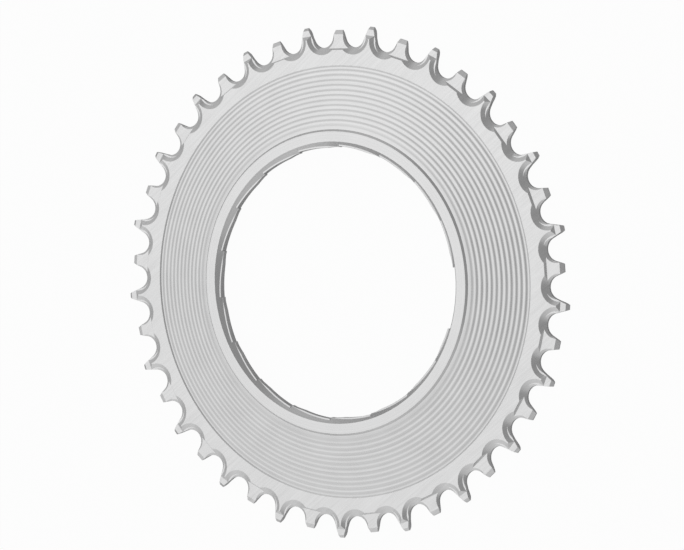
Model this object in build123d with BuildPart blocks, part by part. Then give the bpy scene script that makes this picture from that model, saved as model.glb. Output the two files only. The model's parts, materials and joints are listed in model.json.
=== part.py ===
from build123d import *
from math import cos, radians, sin, tan
import os

# A narrow-wide bicycle chainring: one aluminium disc, turned and then milled.
# The ring's axis is +Z, and its front, the outer side on a bicycle, looks up.
# The origin is the centre of the bore on the hub's front face, which seats on the crank.
# Sizes are in mm, angles in degrees.

# Toothing
tooth_count = 42
chain_pitch = 12.7
first_tooth_angle = -1.4
roller_seat_radius = 4.08
flank_lean = 23.0
wide_tip_height = 3.5
narrow_tip_height = 1.75

# Thickness of the rim, of the blades of the wide and the narrow teeth, and of every tip
rim_thickness = 3.4
wide_thickness = 2.0
narrow_thickness = 1.7
tip_thickness = 0.6

# Nose where a wide tooth slopes down to its blade, foot of a narrow one, and bevels of the tips
nose_depth = 0.75
nose_run = 1.2
narrow_foot_depth = 4.6
narrow_foot_run = 0.5
wide_tip_bevel = 1.0
narrow_tip_bevel = 1.5

# Coned scoops milled round every roller seat on the front
scoop_radius = 6.1
scoop_centre_depth = 0.5
scoop_depth = 1.35

# Pockets milled on the back over each narrow tooth, and the pads that they leave on the wide ones
pocket_depth = 1.1
pocket_wall_run = 1.6
pad_width = 0.8

# Rim face and the groove that parts it from the coned web
rim_width = 10.4
rim_groove_depth = 0.4
rim_groove_wall_run = 0.9
rim_groove_slope_run = 1.05

# Coned web with its turned ring grooves, of which the innermost is the shallowest
dish_height = 3.95
web_thickness = 3.2
groove_pitch = 1.72
groove_depth = 0.3
first_groove_depth = 0.18
plain_band_least = 0.5

# Hub ring round the bore
bore_radius = 48.1
bore_length = 5.15
bore_chamfer = 0.4
hub_face_width = 3.9
hub_step_height = 0.75
hub_step_run = 0.8
hub_back_width = 4.9

cut_margin = 2.0

# Circles of the toothing
pitch_angle = 360 / tooth_count
pitch_radius = chain_pitch / (2 * sin(radians(pitch_angle / 2)))
wide_tip_radius = pitch_radius + wide_tip_height
narrow_tip_radius = pitch_radius + narrow_tip_height
wide_foot = pitch_radius - nose_depth + nose_run
narrow_foot = pitch_radius - narrow_foot_depth
scoop_centre_radius = pitch_radius - scoop_centre_depth
scoop_floor_radius = roller_seat_radius - scoop_centre_depth
blank_radius = wide_tip_radius + cut_margin / 2
cut_radius = wide_tip_radius + cut_margin
first_valley_angle = first_tooth_angle + pitch_angle / 2

# Circles of the web and the hub
rim_inner_radius = pitch_radius - rim_width
rim_groove_radius = rim_inner_radius - rim_groove_wall_run
outer_crest_radius = rim_groove_radius - rim_groove_slope_run
hub_face_radius = bore_radius + hub_face_width
hub_foot_radius = hub_face_radius + hub_step_run
hub_back_radius = bore_radius + hub_back_width
groove_count = int((outer_crest_radius - hub_foot_radius - plain_band_least) / groove_pitch)
inner_crest_radius = outer_crest_radius - groove_count * groove_pitch

# Levels along the axis
hub_face = 0.0
hub_back = hub_face - bore_length
band_level = hub_face - hub_step_height
rim_front = hub_face - dish_height
rim_back = rim_front - rim_thickness
tooth_middle = (rim_front + rim_back) / 2
cut_top = hub_face + cut_margin
cut_bottom = rim_back - cut_margin


def crest_level(radius):
    """Level of the coned front at the crests between its grooves."""
    share = (radius - inner_crest_radius) / (outer_crest_radius - inner_crest_radius)
    return band_level + share * (rim_front - band_level)


def grooved_front():
    """Points of the ring grooves from the innermost crest to the outermost one."""
    points = [(inner_crest_radius, band_level)]
    for groove in range(groove_count):
        valley = inner_crest_radius + (groove + 0.5) * groove_pitch
        crest = inner_crest_radius + (groove + 1) * groove_pitch
        depth = groove_depth if groove else first_groove_depth
        points.append((valley, crest_level(valley) - depth))
        points.append((crest, crest_level(crest)))
    return points


# Half section of the turned blank, from the bore's front edge out over the rim and home on the back
blank_section = [
    (bore_radius, hub_face - bore_chamfer),
    (bore_radius + bore_chamfer, hub_face),
    (hub_face_radius, hub_face),
    (hub_foot_radius, band_level),
    *grooved_front(),
    (rim_groove_radius, rim_front - rim_groove_depth),
    (rim_inner_radius, rim_front),
    (blank_radius, rim_front),
    (blank_radius, rim_back),
    (rim_inner_radius, rim_back),
    (hub_back_radius, band_level - web_thickness),
    (hub_back_radius, hub_back),
    (bore_radius + bore_chamfer, hub_back),
    (bore_radius, hub_back + bore_chamfer),
]

# Cutter for one valley: the roller seat with its leaning flanks, and the scoop on the front
seat_drop = roller_seat_radius * sin(radians(flank_lean))
seat_half_width = roller_seat_radius * cos(radians(flank_lean))
mouth_half_width = seat_half_width + (cut_radius - pitch_radius + seat_drop) * tan(radians(flank_lean))
scoop_slope = (scoop_radius - scoop_floor_radius) / scoop_depth
scoop_height = scoop_depth + cut_margin
scoop_mouth_radius = scoop_floor_radius + scoop_slope * scoop_height

with BuildPart() as valley_cutter:
    with BuildSketch(Plane.XY.offset(cut_bottom)):
        with BuildLine():
            ThreePointArc(
                (pitch_radius - seat_drop, -seat_half_width),
                (pitch_radius - roller_seat_radius, 0),
                (pitch_radius - seat_drop, seat_half_width),
            )
            Polyline(
                (pitch_radius - seat_drop, seat_half_width),
                (cut_radius, mouth_half_width),
                (cut_radius, -mouth_half_width),
                (pitch_radius - seat_drop, -seat_half_width),
            )
        make_face()
    extrude(amount=cut_top - cut_bottom)
    with Locations((scoop_centre_radius, 0, rim_front - scoop_depth)):
        Cone(
            scoop_floor_radius,
            scoop_mouth_radius,
            scoop_height,
            align=(Align.CENTER, Align.CENTER, Align.MIN),
        )


def tooth_cutter(foot, foot_run, thickness, tip_radius, tip_bevel):
    """Everything outside one tooth's thin profile, as wide as the chain's pitch, with the tooth along X."""
    foot_slope = 2 * foot_run / (rim_thickness - thickness)
    front = tooth_middle + thickness / 2
    back = tooth_middle - thickness / 2
    with BuildPart() as cutter:
        with BuildSketch(Plane.XZ):
            with BuildLine():
                Polyline(
                    (foot - foot_slope * (cut_top - front), cut_top),
                    (foot, front),
                    (tip_radius - tip_bevel, front),
                    (tip_radius, tooth_middle + tip_thickness / 2),
                    (tip_radius, tooth_middle - tip_thickness / 2),
                    (tip_radius - tip_bevel, back),
                    (foot, back),
                    (foot - foot_slope * (back - cut_bottom), cut_bottom),
                    (cut_radius, cut_bottom),
                    (cut_radius, cut_top),
                    close=True,
                )
            make_face()
        extrude(amount=chain_pitch / 2, both=True)
    return cutter.part


wide_cutter = tooth_cutter(wide_foot, nose_run, wide_thickness, wide_tip_radius, wide_tip_bevel)
narrow_cutter = tooth_cutter(
    narrow_foot, narrow_foot_run, narrow_thickness, narrow_tip_radius, narrow_tip_bevel
)

pocket_floor = rim_back + pocket_depth
pocket_edge = scoop_centre_radius - scoop_radius


def pocket_corners(level):
    """Corners of a back pocket at a level, with its narrow tooth along X and its walls leaning open."""
    run = pocket_wall_run * (level - rim_back) / pocket_depth
    inner = pocket_edge + run
    pad_half = (pad_width / 2 + run) / cos(radians(pitch_angle))
    inner_half = inner * tan(radians(pitch_angle)) - pad_half
    outer_half = cut_radius * tan(radians(pitch_angle)) - pad_half
    return [(inner, -inner_half), (cut_radius, -outer_half), (cut_radius, outer_half), (inner, inner_half)]


with BuildPart() as pocket_cutter:
    for level in (pocket_floor, cut_bottom):
        with BuildSketch(Plane.XY.offset(level)):
            with BuildLine():
                Polyline(*pocket_corners(level), close=True)
            make_face()
    loft(ruled=True)

with BuildPart() as chainring:
    with BuildSketch(Plane.XZ):
        with BuildLine():
            Polyline(*blank_section, close=True)
        make_face()
    revolve(axis=Axis.Z)
    with PolarLocations(0, tooth_count, start_angle=first_valley_angle):
        add(valley_cutter.part, mode=Mode.SUBTRACT)
    with PolarLocations(0, tooth_count // 2, start_angle=first_tooth_angle):
        add(wide_cutter, mode=Mode.SUBTRACT)
    with PolarLocations(0, tooth_count // 2, start_angle=first_tooth_angle + pitch_angle):
        add(narrow_cutter, mode=Mode.SUBTRACT)
        add(pocket_cutter.part, mode=Mode.SUBTRACT)
chainring.part.label = "chainring"

os.makedirs("parts", exist_ok=True)
export_step(chainring.part, "parts/chainring.step")
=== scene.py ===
import json
from math import asin, atan2, cos, hypot, pi, radians, sin, sqrt

import bmesh
import bpy
from mathutils import Matrix, Vector


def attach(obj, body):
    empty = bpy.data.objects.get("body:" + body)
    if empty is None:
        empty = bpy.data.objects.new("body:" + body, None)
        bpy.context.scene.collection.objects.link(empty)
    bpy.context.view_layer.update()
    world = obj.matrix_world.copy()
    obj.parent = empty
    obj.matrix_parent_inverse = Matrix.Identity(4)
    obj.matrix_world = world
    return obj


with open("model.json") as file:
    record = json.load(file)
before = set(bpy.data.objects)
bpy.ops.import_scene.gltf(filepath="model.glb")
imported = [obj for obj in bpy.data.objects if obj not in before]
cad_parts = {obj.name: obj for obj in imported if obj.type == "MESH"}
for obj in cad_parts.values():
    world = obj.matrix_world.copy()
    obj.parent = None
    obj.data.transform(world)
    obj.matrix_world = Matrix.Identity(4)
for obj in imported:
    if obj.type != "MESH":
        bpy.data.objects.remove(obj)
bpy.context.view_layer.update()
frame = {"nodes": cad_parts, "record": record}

bl_info = {
    "name": "Chainring Studio",
    "version": (1, 0, 0),
    "blender": (4, 5, 0),
    "location": "3D View > Sidebar > Chainring",
    "description": "Finishes a turned chainring, adds its crank thread and lights it in a white studio",
    "category": "Object",
}

# One millimetre, in metres
MM = 0.001

# Names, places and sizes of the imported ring
RING = "chainring"
BODY = "root"
MOUNTS = {mount["name"]: mount for mount in frame["record"]["mounts"]}
BORE_RADIUS = MOUNTS["crank_thread"]["dims"]["r_mm"] * MM
HUB_FACE = MOUNTS["hub_face"]["pos_m"][2]
RIM_BACK = MOUNTS["rim_back"]["pos_m"][2]

# Width of a brush mark over its length
STROKE_STRETCH = 0.03

# Noise behind the turned and brushed marks, the blasted grain and the mottling
MARK_NOISE = {"Detail": 3.0, "Roughness": 0.7}
GRAIN_NOISE = {"Detail": 2.0, "Roughness": 0.6}
MOTTLE_NOISE = {"Detail": 4.0, "Roughness": 0.55}

# Weights of marks, grain and mottling in the metal's tone, and the shift that centres their sum
MARK_WEIGHT = 1.2
GRAIN_WEIGHT = 0.4
MOTTLE_WEIGHT = 0.8
TONE_SHIFT = 0.7

# Rays that round an edge in the shader
EDGE_SAMPLES = 6

# Steps along a ridge, along a ledge, across a groove and round a full turn
RIDGE_STEPS = 24
LEDGE_STEPS = 36
GROOVE_STEPS = 12
TURN_STEPS = 288

# Distance within which a ledge's corners become one, and the angle from which an edge is sharp
WELD = 0.002 * MM
SHARP_ANGLE = radians(15)

# Share of the first ridge that is cut away beside the one place without a ridge
FIRST_RIDGE_SHARE = 0.28

# Colour of the background and of the light
WHITE = (1, 1, 1, 1)

# Floor and camera, with lens and sensor in millimetres
FLOOR_REACH = 3.0
CAMERA_LENS = 166.6
CAMERA_SENSOR = 36.0
CAMERA_CLIP = 0.01
CAMERA_PLACE = (0.56135, 0.0819, 0.92645)
CAMERA_TURN = (radians(-2.887), radians(31.18), radians(2.492))


class FinishSettings(bpy.types.PropertyGroup):
    """Colour, marks and grain of the bare metal."""

    colour: bpy.props.FloatVectorProperty(
        name="Metal colour",
        description="Reflected colour of the satin aluminium",
        subtype="COLOR",
        default=(0.86, 0.86, 0.862),
        min=0,
        max=1,
    )
    tone_spread: bpy.props.FloatProperty(
        name="Tone spread",
        description="How far marks and mottling lighten or darken the metal",
        subtype="FACTOR",
        default=0.1,
        min=0,
        max=1,
    )
    roughness: bpy.props.FloatProperty(
        name="Roughness",
        description="Mean roughness of the satin faces",
        subtype="FACTOR",
        default=0.28,
        min=0,
        max=1,
    )
    roughness_spread: bpy.props.FloatProperty(
        name="Roughness spread",
        description="How far mottling and grain change the roughness",
        subtype="FACTOR",
        default=0.1,
        min=0,
        max=1,
    )
    edge_radius: bpy.props.FloatProperty(
        name="Edge rounding",
        description="Radius of the broken edges",
        subtype="DISTANCE",
        unit="LENGTH",
        default=0.12 * MM,
        min=0,
    )
    rim_radius: bpy.props.FloatProperty(
        name="Rim radius",
        description="Radius at which turned faces end and the brushed rim begins",
        subtype="DISTANCE",
        unit="LENGTH",
        default=74.1 * MM,
        min=0,
    )
    turned_pitch: bpy.props.FloatProperty(
        name="Turned pitch",
        description="Spacing of the ring marks inside the rim",
        subtype="DISTANCE",
        unit="LENGTH",
        default=0.45 * MM,
        min=0.01 * MM,
    )
    brushed_pitch: bpy.props.FloatProperty(
        name="Brushed pitch",
        description="Spacing of the straight brush marks on the rim",
        subtype="DISTANCE",
        unit="LENGTH",
        default=0.7 * MM,
        min=0.01 * MM,
    )
    brush_angle: bpy.props.FloatProperty(
        name="Brush angle",
        description="Direction of the straight brush marks from the X axis",
        subtype="ANGLE",
        unit="ROTATION",
        default=radians(42),
    )
    mark_depth: bpy.props.FloatProperty(
        name="Mark depth",
        description="Depth of the turned and brushed marks",
        subtype="DISTANCE",
        unit="LENGTH",
        default=0.008 * MM,
        min=0,
    )
    grain_size: bpy.props.FloatProperty(
        name="Grain size",
        description="Size of the blasted grain",
        subtype="DISTANCE",
        unit="LENGTH",
        default=0.25 * MM,
        min=0.01 * MM,
    )
    grain_depth: bpy.props.FloatProperty(
        name="Grain depth",
        description="Depth of the blasted grain",
        subtype="DISTANCE",
        unit="LENGTH",
        default=0.002 * MM,
        min=0,
    )
    mottle_size: bpy.props.FloatProperty(
        name="Mottle size",
        description="Size of the soft cloudy patches in the finish",
        subtype="DISTANCE",
        unit="LENGTH",
        default=9 * MM,
        min=0.1 * MM,
    )


class LedgeSettings(bpy.types.PropertyGroup):
    """The flat ledges that the scoops leave along the flanks of the wide teeth."""

    tooth_count: bpy.props.IntProperty(
        name="Teeth",
        description="Number of teeth, every second one of them wide",
        default=42,
        min=2,
    )
    chain_pitch: bpy.props.FloatProperty(
        name="Chain pitch",
        description="Distance between neighbouring chain rollers",
        subtype="DISTANCE",
        unit="LENGTH",
        default=12.7 * MM,
        min=0,
    )
    first_tooth: bpy.props.FloatProperty(
        name="First tooth",
        description="Angle of the first wide tooth from the X axis",
        subtype="ANGLE",
        unit="ROTATION",
        default=radians(-1.4),
    )
    rim_depth: bpy.props.FloatProperty(
        name="Rim depth",
        description="Depth of the rim's front below the hub face",
        subtype="DISTANCE",
        unit="LENGTH",
        default=3.95 * MM,
        min=0,
    )
    seat_radius: bpy.props.FloatProperty(
        name="Seat radius",
        description="Radius of the roller seats",
        subtype="DISTANCE",
        unit="LENGTH",
        default=4.08 * MM,
        min=0,
    )
    flank_lean: bpy.props.FloatProperty(
        name="Flank lean",
        description="Lean of the tooth flanks away from the middle of the valley",
        subtype="ANGLE",
        unit="ROTATION",
        default=radians(23),
    )
    centre_depth: bpy.props.FloatProperty(
        name="Scoop centre depth",
        description="Depth of the scoops' centres inside the pitch circle",
        subtype="DISTANCE",
        unit="LENGTH",
        default=0.5 * MM,
        min=0,
    )
    scoop_radius: bpy.props.FloatProperty(
        name="Scoop radius",
        description="Radius of the scoops on the rim's front",
        subtype="DISTANCE",
        unit="LENGTH",
        default=6.1 * MM,
        min=0,
    )
    scoop_depth: bpy.props.FloatProperty(
        name="Scoop depth",
        description="Depth of the scoops at the bottom of a roller seat",
        subtype="DISTANCE",
        unit="LENGTH",
        default=1.35 * MM,
        min=0,
    )
    ledge_depth: bpy.props.FloatProperty(
        name="Ledge depth",
        description="Depth of the ledges, level with the blades of the wide teeth",
        subtype="DISTANCE",
        unit="LENGTH",
        default=0.75 * MM,
        min=0,
    )
    start: bpy.props.FloatProperty(
        name="Start",
        description="Bearing round the scoop, from the bottom of the valley, at which a ledge begins",
        subtype="ANGLE",
        unit="ROTATION",
        default=radians(28),
    )
    taper: bpy.props.FloatProperty(
        name="Taper",
        description="How far the deeper scoop lies off the valley's middle, which tapers the ledges",
        subtype="DISTANCE",
        unit="LENGTH",
        default=0.8 * MM,
        min=0,
    )
    sink: bpy.props.FloatProperty(
        name="Sink",
        description="How far hidden corners lie inside the metal",
        subtype="DISTANCE",
        unit="LENGTH",
        default=0.06 * MM,
        min=0,
    )


class ThreadSettings(bpy.types.PropertyGroup):
    """The many-start thread in the bore."""

    starts: bpy.props.IntProperty(
        name="Starts",
        description="Number of thread starts round the bore",
        default=18,
        min=1,
    )
    first_start: bpy.props.FloatProperty(
        name="First start",
        description="Angle of the first thread start from the X axis",
        subtype="ANGLE",
        unit="ROTATION",
        default=radians(-9.7),
    )
    chamfer: bpy.props.FloatProperty(
        name="Chamfer",
        description="Depth of the bore's front chamfer, whose cone goes on down to the ridges",
        subtype="DISTANCE",
        unit="LENGTH",
        default=0.4 * MM,
        min=0,
    )
    crest_height: bpy.props.FloatProperty(
        name="Crest height",
        description="How far each ridge stands proud of the chamfer's cone",
        subtype="DISTANCE",
        unit="LENGTH",
        default=0.55 * MM,
        min=0,
    )
    front_depth: bpy.props.FloatProperty(
        name="Front depth",
        description="Depth of each ridge's leading end below the hub face",
        subtype="DISTANCE",
        unit="LENGTH",
        default=1.0 * MM,
        min=0,
    )
    fall: bpy.props.FloatProperty(
        name="Fall",
        description="How far each ridge runs back over its length",
        subtype="DISTANCE",
        unit="LENGTH",
        default=0.75 * MM,
    )
    run_out: bpy.props.FloatProperty(
        name="Run-out",
        description="Share of a ridge's length over which its crest runs out at the deeper end",
        subtype="FACTOR",
        default=0.3,
        min=0.01,
        max=1,
    )
    edge: bpy.props.FloatProperty(
        name="Edge",
        description="Chamfer along each crest",
        subtype="DISTANCE",
        unit="LENGTH",
        default=0.08 * MM,
        min=0,
    )
    gap: bpy.props.FloatProperty(
        name="Gap",
        description="Hairline gap between the end of a ridge and the next one",
        subtype="DISTANCE",
        unit="LENGTH",
        default=0.02 * MM,
        min=0,
    )
    back_depth: bpy.props.FloatProperty(
        name="Back depth",
        description="Depth below the hub face at which the thread ends",
        subtype="DISTANCE",
        unit="LENGTH",
        default=3.4 * MM,
        min=0,
    )


class GrooveSettings(bpy.types.PropertyGroup):
    """The rounded ring grooves of the coned front."""

    count: bpy.props.IntProperty(
        name="Grooves",
        description="Number of ring grooves, of which the outermost runs in under the rim's wall",
        default=12,
        min=1,
    )
    pitch: bpy.props.FloatProperty(
        name="Groove pitch",
        description="Distance between neighbouring grooves",
        subtype="DISTANCE",
        unit="LENGTH",
        default=1.72 * MM,
        min=0,
    )
    inner_radius: bpy.props.FloatProperty(
        name="Inner radius",
        description="Radius of the innermost crest",
        subtype="DISTANCE",
        unit="LENGTH",
        default=53.7 * MM,
        min=0,
    )
    inner_depth: bpy.props.FloatProperty(
        name="Inner depth",
        description="Depth of the innermost crest below the hub face",
        subtype="DISTANCE",
        unit="LENGTH",
        default=0.75 * MM,
        min=0,
    )
    outer_depth: bpy.props.FloatProperty(
        name="Outer depth",
        description="Depth below the hub face of the outermost crest, which the rim's wall hides",
        subtype="DISTANCE",
        unit="LENGTH",
        default=4.24 * MM,
        min=0,
    )
    depth: bpy.props.FloatProperty(
        name="Groove depth",
        description="Depth of each rounded groove",
        subtype="DISTANCE",
        unit="LENGTH",
        default=0.085 * MM,
        min=0,
    )
    first_share: bpy.props.FloatProperty(
        name="First groove",
        description="Depth of the innermost groove as a share of the others",
        subtype="FACTOR",
        default=0.6,
        min=0,
        max=1,
    )
    band: bpy.props.FloatProperty(
        name="Plain band",
        description="Width of the plain coned band from the innermost crest in under the hub's step",
        subtype="DISTANCE",
        unit="LENGTH",
        default=1.2 * MM,
        min=0,
    )
    band_rise: bpy.props.FloatProperty(
        name="Band rise",
        description="How far the plain band rises towards the hub",
        subtype="DISTANCE",
        unit="LENGTH",
        default=0.1 * MM,
        min=0,
    )
    lift: bpy.props.FloatProperty(
        name="Lift",
        description="How far the rounded crests stand over the plain ones below them",
        subtype="DISTANCE",
        unit="LENGTH",
        default=0.02 * MM,
        min=0,
    )
    root: bpy.props.FloatProperty(
        name="Root",
        description="How far the hidden underside lies inside the metal",
        subtype="DISTANCE",
        unit="LENGTH",
        default=0.5 * MM,
        min=0,
    )


class StageSettings(bpy.types.PropertyGroup):
    """Floor, lights and camera."""

    floor_colour: bpy.props.FloatVectorProperty(
        name="Floor colour",
        description="Colour of the pale floor",
        subtype="COLOR",
        default=(0.65, 0.65, 0.65),
        min=0,
        max=1,
    )
    backdrop_share: bpy.props.FloatProperty(
        name="Backdrop share",
        description="Share of pure white in the floor as the camera sees it; the rest keeps the shadow",
        subtype="FACTOR",
        default=0.97,
        min=0,
        max=1,
    )
    mirror_share: bpy.props.FloatProperty(
        name="Mirror share",
        description="Share of pure white in the floor as the metal mirrors it",
        subtype="FACTOR",
        default=0.05,
        min=0,
        max=1,
    )
    ambient: bpy.props.FloatProperty(
        name="Ambient",
        description="Brightness of the darkest part of the room",
        default=0.24,
        min=0,
    )
    canopy: bpy.props.FloatProperty(
        name="Canopy",
        description="Brightness that the white canopy adds to the room",
        default=0.2,
        min=0,
    )
    dark_azimuth: bpy.props.FloatProperty(
        name="Dark azimuth",
        description="Angle of the canopy's opening round the object from the X axis",
        subtype="ANGLE",
        unit="ROTATION",
        default=radians(35),
    )
    dark_elevation: bpy.props.FloatProperty(
        name="Dark elevation",
        description="Height of the canopy's opening above the floor as an angle",
        subtype="ANGLE",
        unit="ROTATION",
        default=radians(45),
    )
    dark_inner: bpy.props.FloatProperty(
        name="Dark inner angle",
        description="Half angle of the canopy's opening where it is darkest",
        subtype="ANGLE",
        unit="ROTATION",
        default=radians(40),
    )
    dark_outer: bpy.props.FloatProperty(
        name="Dark outer angle",
        description="Half angle at which the canopy is at its full brightness",
        subtype="ANGLE",
        unit="ROTATION",
        default=radians(60),
    )
    key_brightness: bpy.props.FloatProperty(
        name="Key brightness",
        description="Brightness of the key light in its middle",
        default=0.55,
        min=0,
    )
    key_azimuth: bpy.props.FloatProperty(
        name="Key azimuth",
        description="Angle of the key light round the object from the X axis",
        subtype="ANGLE",
        unit="ROTATION",
        default=radians(164),
    )
    key_elevation: bpy.props.FloatProperty(
        name="Key elevation",
        description="Height of the key light above the floor as an angle",
        subtype="ANGLE",
        unit="ROTATION",
        default=radians(62),
    )
    key_tightness: bpy.props.FloatProperty(
        name="Key tightness",
        description="How quickly the key light falls off from its middle",
        default=12.0,
        min=0,
    )
    fill_brightness: bpy.props.FloatProperty(
        name="Fill brightness",
        description="Brightness of the low fill light in its middle",
        default=0.2,
        min=0,
    )
    fill_azimuth: bpy.props.FloatProperty(
        name="Fill azimuth",
        description="Angle of the low fill light round the object from the X axis",
        subtype="ANGLE",
        unit="ROTATION",
        default=radians(235),
    )
    fill_elevation: bpy.props.FloatProperty(
        name="Fill elevation",
        description="Height of the low fill light above the floor as an angle",
        subtype="ANGLE",
        unit="ROTATION",
        default=radians(30),
    )
    fill_tightness: bpy.props.FloatProperty(
        name="Fill tightness",
        description="How quickly the low fill light falls off from its middle",
        default=4.0,
        min=0,
    )


class Value:
    """A shader socket that takes part in Python sums, each of which adds its Math node."""

    def __init__(self, shader, socket):
        self.shader = shader
        self.socket = socket

    def _math(self, operation, *terms):
        return self.shader.node("ShaderNodeMath", {"operation": operation}, dict(enumerate(terms)))

    def __add__(self, other):
        return self._math("ADD", self, other)

    def __sub__(self, other):
        return self._math("SUBTRACT", self, other)

    def __rsub__(self, other):
        return self._math("SUBTRACT", other, self)

    def __mul__(self, other):
        return self._math("MULTIPLY", self, other)

    def __pow__(self, other):
        return self._math("POWER", self, other)

    def __rpow__(self, other):
        return self._math("POWER", other, self)

    __radd__ = __add__
    __rmul__ = __mul__

    def at_least(self, other):
        return self._math("MAXIMUM", self, other)

    def output(self, name):
        """Another output of the same node."""
        return Value(self.shader, self.socket.node.outputs[name])


class Shader:
    """A node tree that is filled by calls: one method adds any node."""

    def __init__(self, owner):
        owner.use_nodes = True
        self.tree = owner.node_tree
        self.tree.nodes.clear()

    def node(self, kind, settings=None, inputs=None, output=0):
        """Adds a node, sets its settings, then fills its sockets with numbers or links."""
        node = self.tree.nodes.new(kind)
        for name, setting in (settings or {}).items():
            setattr(node, name, setting)
        for name, value in (inputs or {}).items():
            if isinstance(value, Value):
                self.tree.links.new(value.socket, node.inputs[name])
            else:
                node.inputs[name].default_value = value
        return Value(self, node.outputs[output]) if node.outputs else None


def ring_metal(settings):
    """Satin aluminium: turned inside the rim, brushed straight on the rim, blasted all over."""
    material = bpy.data.materials.new("satin_aluminium")
    shader = Shader(material)
    place = shader.node("ShaderNodeTexCoord", output="Object")
    x = shader.node("ShaderNodeSeparateXYZ", inputs={"Vector": place})
    y = x.output("Y")
    radius = (x * x + y * y) ** 0.5
    turn = settings.brush_angle
    across = y * cos(turn) - x * sin(turn)
    along = x * cos(turn) + y * sin(turn)
    strokes = shader.node("ShaderNodeCombineXYZ", inputs={"X": across, "Y": along * STROKE_STRETCH})
    turned = shader.node(
        "ShaderNodeTexNoise",
        {"noise_dimensions": "1D"},
        {"W": radius, "Scale": 1 / settings.turned_pitch, **MARK_NOISE},
    )
    brushed = shader.node(
        "ShaderNodeTexNoise",
        {"noise_dimensions": "2D"},
        {"Vector": strokes, "Scale": 1 / settings.brushed_pitch, **MARK_NOISE},
    )
    grain = shader.node(
        "ShaderNodeTexNoise",
        inputs={"Vector": place, "Scale": 1 / settings.grain_size, **GRAIN_NOISE},
    )
    mottle = shader.node(
        "ShaderNodeTexNoise",
        inputs={"Vector": place, "Scale": 1 / settings.mottle_size, **MOTTLE_NOISE},
    )
    on_rim = shader.node(
        "ShaderNodeMapRange",
        {"interpolation_type": "SMOOTHSTEP"},
        {
            "Value": radius,
            "From Min": settings.rim_radius - settings.edge_radius,
            "From Max": settings.rim_radius + settings.edge_radius,
        },
    )
    marks = turned + (brushed - turned) * on_rim
    tone = marks * MARK_WEIGHT + grain * GRAIN_WEIGHT + mottle * MOTTLE_WEIGHT - TONE_SHIFT
    dark, light = (
        [min(1, channel * (1 + sign * settings.tone_spread)) for channel in settings.colour]
        for sign in (-1, 1)
    )
    colour = shader.node(
        "ShaderNodeMix",
        {"data_type": "RGBA"},
        {"Factor": tone, "A": (*dark, 1), "B": (*light, 1)},
        output="Result",
    )
    rounded = shader.node("ShaderNodeBevel", {"samples": EDGE_SAMPLES}, {"Radius": settings.edge_radius})
    relief = shader.node(
        "ShaderNodeBump",
        inputs={
            "Strength": 1.0,
            "Distance": 1.0,
            "Height": marks * settings.mark_depth + grain * settings.grain_depth,
            "Normal": rounded,
        },
    )
    surface = shader.node(
        "ShaderNodeBsdfPrincipled",
        inputs={
            "Base Color": colour,
            "Metallic": 1.0,
            "Roughness": settings.roughness + (mottle + grain - 1) * settings.roughness_spread,
            "Normal": relief,
        },
    )
    shader.node("ShaderNodeOutputMaterial", inputs={"Surface": surface})
    return material


class ChainringFinish(bpy.types.Operator):
    """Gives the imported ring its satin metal"""

    bl_idname = "chainring.finish"
    bl_label = "Finish the ring"

    def execute(self, context):
        ring = frame["nodes"][RING]
        material = ring_metal(context.scene.chainring_finish)
        for slot in ring.material_slots:
            slot.material = material
        return {"FINISHED"}


def place_section(mesh, section, angle):
    """Adds the corners of a section, pairs of radius and level, at an angle round the axis."""
    return [mesh.verts.new((radius * cos(angle), radius * sin(angle), level)) for radius, level in section]


def join_sections(mesh, near, far):
    """Joins two sections by a band of faces."""
    for i in range(len(near)):
        j = (i + 1) % len(near)
        mesh.faces.new((near[i], near[j], far[j], far[i]))


def close_bar(mesh, sections):
    """Joins sections one after the other into a bar with closed ends."""
    for near, far in zip(sections, sections[1:]):
        join_sections(mesh, near, far)
    mesh.faces.new(sections[0])
    mesh.faces.new(sections[-1][::-1])


def turn_section(mesh, section):
    """Turns a closed section once round the axis."""
    sections = [place_section(mesh, section, 2 * pi * step / TURN_STEPS) for step in range(TURN_STEPS)]
    for near, far in zip(sections, sections[1:] + sections[:1]):
        join_sections(mesh, near, far)


def ride_along(context, shape, name):
    """Turns a finished shape into an object of the ring's metal that rides with the ring."""
    bmesh.ops.recalc_face_normals(shape, faces=shape.faces)
    mesh = bpy.data.meshes.new(name)
    shape.to_mesh(mesh)
    shape.free()
    mesh.shade_smooth()
    mesh.set_sharp_from_angle(angle=SHARP_ANGLE)
    mesh.materials.append(frame["nodes"][RING].material_slots[0].material)
    rider = bpy.data.objects.new(name, mesh)
    context.scene.collection.objects.link(rider)
    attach(rider, BODY)


def ridge_section(settings, depth, height):
    """Corners of a ridge's section, from its depth and height, as pairs of radius and level."""
    seat = BORE_RADIUS + settings.edge
    front = HUB_FACE - depth
    back = HUB_FACE - settings.back_depth
    root = BORE_RADIUS + settings.chamfer - depth
    crest = root - max(height, 2 * settings.edge)
    return [
        (seat, HUB_FACE - settings.chamfer + settings.edge),
        (root, front),
        (crest + settings.edge, front),
        (crest, front - settings.edge),
        (crest, back),
        (seat, back),
    ]


def add_ridge(mesh, settings, start, sweep, first_share):
    """Sweeps one helical ridge, from a share of its length on, with closed ends."""
    sections = []
    for step in range(RIDGE_STEPS + 1):
        share = first_share + (1 - first_share) * step / RIDGE_STEPS
        angle = start - sweep * share
        height = settings.crest_height * min(1, (1 - share) / settings.run_out)
        section = ridge_section(settings, settings.front_depth + settings.fall * share, height)
        sections.append(place_section(mesh, section, angle))
    close_bar(mesh, sections)


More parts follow.
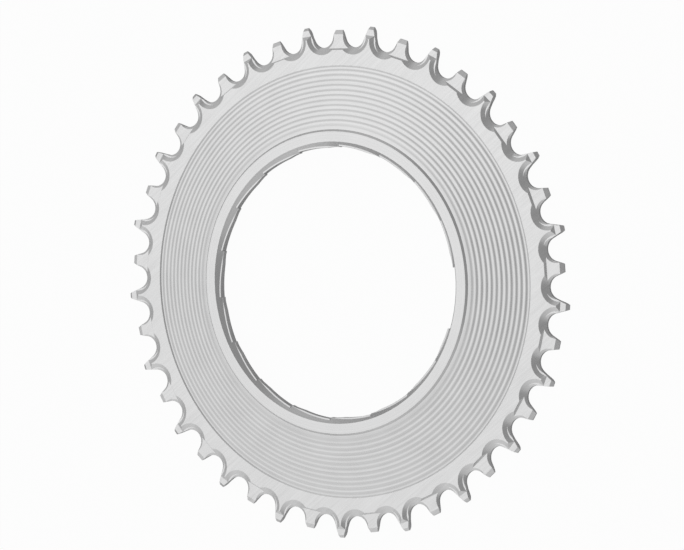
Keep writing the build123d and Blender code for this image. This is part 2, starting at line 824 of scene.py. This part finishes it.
class ChainringThread(bpy.types.Operator):
    """Adds the short helical ridges of the crank thread to the bore"""

    bl_idname = "chainring.thread"
    bl_label = "Cut the thread"

    def execute(self, context):
        settings = context.scene.chainring_thread
        step = 2 * pi / settings.starts
        sweep = step - settings.gap / BORE_RADIUS
        ridges = bmesh.new()
        for start in range(settings.starts - 1):
            first_share = 0 if start else FIRST_RIDGE_SHARE
            add_ridge(ridges, settings, settings.first_start - start * step, sweep, first_share)
        ride_along(context, ridges, "crank_thread")
        return {"FINISHED"}


def groove_section(settings):
    """Closed section of the grooved front with its hidden underside, as pairs of radius and level."""
    reach = settings.count * settings.pitch
    slope = (settings.outer_depth - settings.inner_depth) / reach
    band_depth = settings.inner_depth - settings.band_rise - settings.lift
    top = [(settings.inner_radius - settings.band, HUB_FACE - band_depth)]
    for step in range(settings.count * GROOVE_STEPS + 1):
        offset = settings.pitch * step / GROOVE_STEPS
        crest = settings.inner_depth + slope * offset
        depth = settings.depth * (settings.first_share if step < GROOVE_STEPS else 1)
        fall = depth * (1 - cos(2 * pi * step / GROOVE_STEPS)) / 2
        top.append((settings.inner_radius + offset, HUB_FACE - crest + settings.lift - fall))
    under = [(radius, level - settings.root) for radius, level in (top[-1], top[0])]
    return top + under


class ChainringGrooves(bpy.types.Operator):
    """Rounds the turned ring grooves of the coned front"""

    bl_idname = "chainring.grooves"
    bl_label = "Round the grooves"

    def execute(self, context):
        grooves = bmesh.new()
        turn_section(grooves, groove_section(context.scene.chainring_grooves))
        ride_along(context, grooves, "ring_grooves")
        return {"FINISHED"}


def scoop_slope(settings):
    """Fall of a scoop's coned wall over its run."""
    return settings.scoop_depth / (settings.scoop_radius - settings.seat_radius + settings.centre_depth)


def ledge_wall(settings):
    """Distance from a scoop's centre to its wall at the depth of the ledges."""
    return settings.scoop_radius - settings.ledge_depth / scoop_slope(settings)


def ledge_section(settings, bearing):
    """Corners of a ledge's section at a bearing round a scoop's centre, as pairs of distance and depth."""
    slope = scoop_slope(settings)
    wall = ledge_wall(settings)
    offset = settings.centre_depth
    lean = settings.flank_lean
    tangent = atan2(settings.seat_radius * cos(lean), settings.seat_radius * sin(lean) - offset)
    if bearing < tangent:
        edge = sqrt(settings.seat_radius**2 - (offset * sin(bearing)) ** 2) - offset * cos(bearing)
    else:
        edge = (settings.seat_radius - offset * sin(lean)) / sin(bearing + lean)
    taper = settings.taper
    run = bearing - settings.start
    foot = sqrt(wall**2 - (taper * cos(run)) ** 2) - taper * sin(run)
    spread = hypot(edge * sin(run) + taper, edge * cos(run))
    lip = max(settings.ledge_depth, (settings.scoop_radius - spread) * slope)
    root = max(lip, (settings.scoop_radius - edge) * slope) + settings.sink
    return [
        (wall + settings.sink, settings.ledge_depth),
        (max(edge, foot), settings.ledge_depth),
        (edge, lip),
        (edge, root),
        (wall + settings.sink, settings.ledge_depth + settings.sink),
    ]


def add_ledge(mesh, settings, tooth, side):
    """Sweeps one ledge along a flank of a wide tooth, the clockwise one where side is 1."""
    half_pitch = pi / settings.tooth_count
    centre = settings.chain_pitch / (2 * sin(half_pitch)) - settings.centre_depth
    place = Matrix.Rotation(tooth - side * half_pitch, 3, "Z")
    wall = ledge_wall(settings)
    flank = settings.seat_radius - settings.centre_depth * sin(settings.flank_lean)
    first = settings.start - asin(settings.taper / (2 * wall))
    last = pi - asin(flank / wall) - settings.flank_lean
    level = HUB_FACE - settings.rim_depth
    sections = []
    for step in range(LEDGE_STEPS + 1):
        bearing = first + (last - first) * step / LEDGE_STEPS
        inward = cos(bearing)
        sideways = side * sin(bearing)
        sections.append([
            mesh.verts.new(place @ Vector((centre - distance * inward, distance * sideways, level - depth)))
            for distance, depth in ledge_section(settings, bearing)
        ])
    close_bar(mesh, sections)


class ChainringLedges(bpy.types.Operator):
    """Adds the narrow flat ledges along the flanks of the wide teeth"""

    bl_idname = "chainring.ledges"
    bl_label = "Add the ledges"

    def execute(self, context):
        settings = context.scene.chainring_ledges
        wide_step = 4 * pi / settings.tooth_count
        ledges = bmesh.new()
        for tooth in range(settings.tooth_count // 2):
            for side in (1, -1):
                add_ledge(ledges, settings, settings.first_tooth + tooth * wide_step, side)
        bmesh.ops.remove_doubles(ledges, verts=ledges.verts, dist=WELD)
        ride_along(context, ledges, "flank_ledges")
        return {"FINISHED"}


def background_share(shader, settings):
    """Share of pure white in the background for the rays that look at it."""
    camera = shader.node("ShaderNodeLightPath", output="Is Camera Ray")
    clear = camera.output("Is Transmission Ray")
    mirrored = camera.output("Is Glossy Ray")
    return (camera + clear) * settings.backdrop_share + mirrored * settings.mirror_share


def pale_floor(settings):
    """A matt pale floor that the camera sees as nearly pure white, with a faint shadow."""
    material = bpy.data.materials.new("pale_floor")
    shader = Shader(material)
    matt = shader.node("ShaderNodeBsdfDiffuse", inputs={"Color": (*settings.floor_colour, 1)})
    white = shader.node("ShaderNodeEmission", inputs={"Color": WHITE, "Strength": 1.0})
    mixed = shader.node(
        "ShaderNodeMixShader",
        inputs={0: background_share(shader, settings), 1: matt, 2: white},
    )
    shader.node("ShaderNodeOutputMaterial", inputs={"Surface": mixed})
    return material


def towards(shader, sight, azimuth, elevation):
    """Cosine of the angle between the direction looked at and a direction given."""
    middle = (cos(elevation) * cos(azimuth), cos(elevation) * sin(azimuth), sin(elevation))
    return shader.node(
        "ShaderNodeVectorMath", {"operation": "DOT_PRODUCT"}, {0: sight, 1: middle}, output="Value"
    )


def studio_room(scene, settings):
    """A white canopy, open and dark towards the camera, with a large key light and a low fill light."""
    world = bpy.data.worlds.new("studio")
    scene.world = world
    shader = Shader(world)
    sight = shader.node("ShaderNodeTexCoord", output="Generated")
    canopy = shader.node(
        "ShaderNodeMapRange",
        {"interpolation_type": "SMOOTHSTEP"},
        {
            "Value": towards(shader, sight, settings.dark_azimuth, settings.dark_elevation),
            "From Min": cos(settings.dark_outer),
            "From Max": cos(settings.dark_inner),
            "To Min": settings.canopy,
            "To Max": 0.0,
        },
    )
    key = towards(shader, sight, settings.key_azimuth, settings.key_elevation).at_least(0)
    fill = towards(shader, sight, settings.fill_azimuth, settings.fill_elevation).at_least(0)
    light = (
        settings.ambient
        + canopy
        + key**settings.key_tightness * settings.key_brightness
        + fill**settings.fill_tightness * settings.fill_brightness
    )
    share = background_share(shader, settings)
    room = shader.node(
        "ShaderNodeBackground", inputs={"Color": WHITE, "Strength": share + (1 - share) * light}
    )
    shader.node("ShaderNodeOutputWorld", inputs={"Surface": room})


class ChainringStage(bpy.types.Operator):
    """Sets the floor, the light and the camera"""

    bl_idname = "chainring.stage"
    bl_label = "Set the stage"

    def execute(self, context):
        scene = context.scene
        settings = scene.chainring_stage
        scene.view_settings.view_transform = "Standard"
        mesh = bpy.data.meshes.new("floor")
        signs = ((-1, -1), (1, -1), (1, 1), (-1, 1))
        corners = [(x * FLOOR_REACH, y * FLOOR_REACH, RIM_BACK) for x, y in signs]
        mesh.from_pydata(corners, [], [(0, 1, 2, 3)])
        mesh.materials.append(pale_floor(settings))
        floor = bpy.data.objects.new("floor", mesh)
        scene.collection.objects.link(floor)
        studio_room(scene, settings)

        lens = bpy.data.cameras.new("camera")
        lens.lens = CAMERA_LENS
        lens.sensor_width = CAMERA_SENSOR
        lens.clip_start = CAMERA_CLIP
        camera = bpy.data.objects.new("camera", lens)
        camera.location = CAMERA_PLACE
        camera.rotation_euler = CAMERA_TURN
        scene.collection.objects.link(camera)
        scene.camera = camera
        return {"FINISHED"}


class ChainringPanel(bpy.types.Panel):
    """Lists the chainring's steps"""

    bl_idname = "VIEW3D_PT_chainring"
    bl_label = "Chainring"
    bl_space_type = "VIEW_3D"
    bl_region_type = "UI"
    bl_category = "Chainring"

    def draw(self, context):
        for operator in OPERATORS:
            self.layout.operator(operator.bl_idname)
        for group in GROUPS:
            settings = getattr(context.scene, group)
            for name in settings.__annotations__:
                self.layout.prop(settings, name)


OPERATORS = (ChainringFinish, ChainringThread, ChainringGrooves, ChainringLedges, ChainringStage)
GROUPS = {
    "chainring_finish": FinishSettings,
    "chainring_thread": ThreadSettings,
    "chainring_grooves": GrooveSettings,
    "chainring_ledges": LedgeSettings,
    "chainring_stage": StageSettings,
}


def register():
    for group in GROUPS.values():
        bpy.utils.register_class(group)
    for cls in (*OPERATORS, ChainringPanel):
        bpy.utils.register_class(cls)
    for name, group in GROUPS.items():
        setattr(bpy.types.Scene, name, bpy.props.PointerProperty(type=group))


def unregister():
    for name in GROUPS:
        delattr(bpy.types.Scene, name)
    for cls in (ChainringPanel, *reversed(OPERATORS)):
        bpy.utils.unregister_class(cls)
    for group in GROUPS.values():
        bpy.utils.unregister_class(group)


def main():
    register()
    bpy.ops.chainring.finish()
    bpy.ops.chainring.thread()
    bpy.ops.chainring.grooves()
    bpy.ops.chainring.ledges()
    bpy.ops.chainring.stage()


if __name__ == "__main__":
    main()
